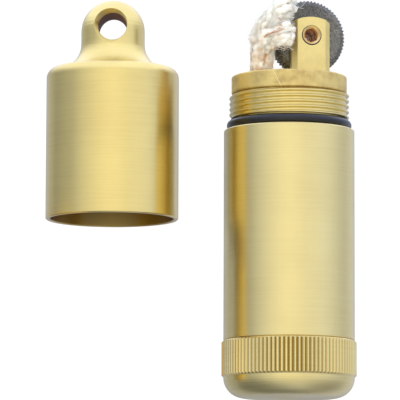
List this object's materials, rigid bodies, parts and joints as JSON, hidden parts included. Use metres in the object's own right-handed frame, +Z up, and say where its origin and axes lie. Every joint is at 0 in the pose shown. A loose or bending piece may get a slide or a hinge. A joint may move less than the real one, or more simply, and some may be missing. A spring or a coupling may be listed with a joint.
{
  "type": "peanut lighter",
  "caption": "Pocket petrol lighter of turned brass with a striker wheel, a wick and a knurled screw plug at its base, lying beside its taken-off screw cap.",
  "frame": {"origin": "on the table, under the middle of the box that holds the lighter and its cap as they lie side by side", "axes": "+Z up from the table, +Y along the lighter's axis from its base to its striker wheel, +X from the cap towards the lighter"},
  "size_m": [0.0452, 0.0582, 0.0196],
  "materials": {
    "brass": "turned and lightly brushed",
    "brass_insert": "satin, slightly tarnished",
    "rubber": "moulded, slightly oiled",
    "hardened_steel": "hardened, dark and matte",
    "spring_steel": "drawn wire",
    "copper": "drawn copper",
    "flint": "sintered",
    "cotton": "loose cotton",
    "felt": "pressed felt"
  },
  "bodies": {
    "lighter": {"body_tube": "brass", "neck_o_ring": "rubber", "insert": "brass_insert", "wheel_axle": "brass_insert", "flint_tube": "brass", "wick": "cotton", "wick_strand": "copper", "felt_pad": "felt", "wadding_1": "cotton", "wadding_2": "cotton", "wadding_3": "cotton", "wadding_4": "cotton"},
    "cap": {"cap": "brass"},
    "base_seal": {"base_o_ring": "rubber"},
    "base": {"base_plug": "brass"},
    "wheel": {"striker_wheel": "hardened_steel"},
    "flint_stack": {"flint": "flint", "flint_plunger": "brass"},
    "spring": {"flint_spring": "spring_steel"},
    "screw": {"flint_screw": "brass"}
  },
  "joints": [
    {"name": "cap_carry", "type": "slide", "parent": "lighter", "child": "cap", "axis": [0.3066, 0.9518, 0.0014], "range_m": [0, 0.08415]},
    {"name": "base_advance", "type": "slide", "parent": "lighter", "child": "base_seal", "axis": [0, -1, 0], "range_m": [0, 0.0064]},
    {"name": "base_turn", "type": "hinge", "parent": "base_seal", "child": "base", "pos_m": [0.01284, -0.0291, 0.00979], "axis": [0, -1, 0], "range_deg": [0, 2880]},
    {"name": "wheel_spin", "type": "hinge", "parent": "lighter", "child": "wheel", "pos_m": [0.01539, 0.02364, 0.0093], "axis": [0.1908, 0, 0.9816], "continuous": true},
    {"name": "flint_feed", "type": "slide", "parent": "lighter", "child": "flint_stack", "axis": [0, 1, 0], "range_m": [-0.004, 0], "stiffness_N_per_m": 250, "springref_m": 0.004, "deforming": ["flint_spring"]},
    {"name": "flint_screw_advance", "type": "slide", "parent": "lighter", "child": "spring", "axis": [0, -1, 0], "range_m": [0, 0.005]},
    {"name": "flint_screw_turn", "type": "hinge", "parent": "spring", "child": "screw", "pos_m": [0.01535, -0.0181, 0.0093], "axis": [0, -1, 0], "range_deg": [0, 3600]}
  ],
  "couplings": [
    {"joint": "base_advance", "follows": "base_turn", "m_per_rad": 0.00012732},
    {"joint": "flint_screw_turn", "follows": "flint_screw_advance", "rad_per_m": 12566}
  ]
}
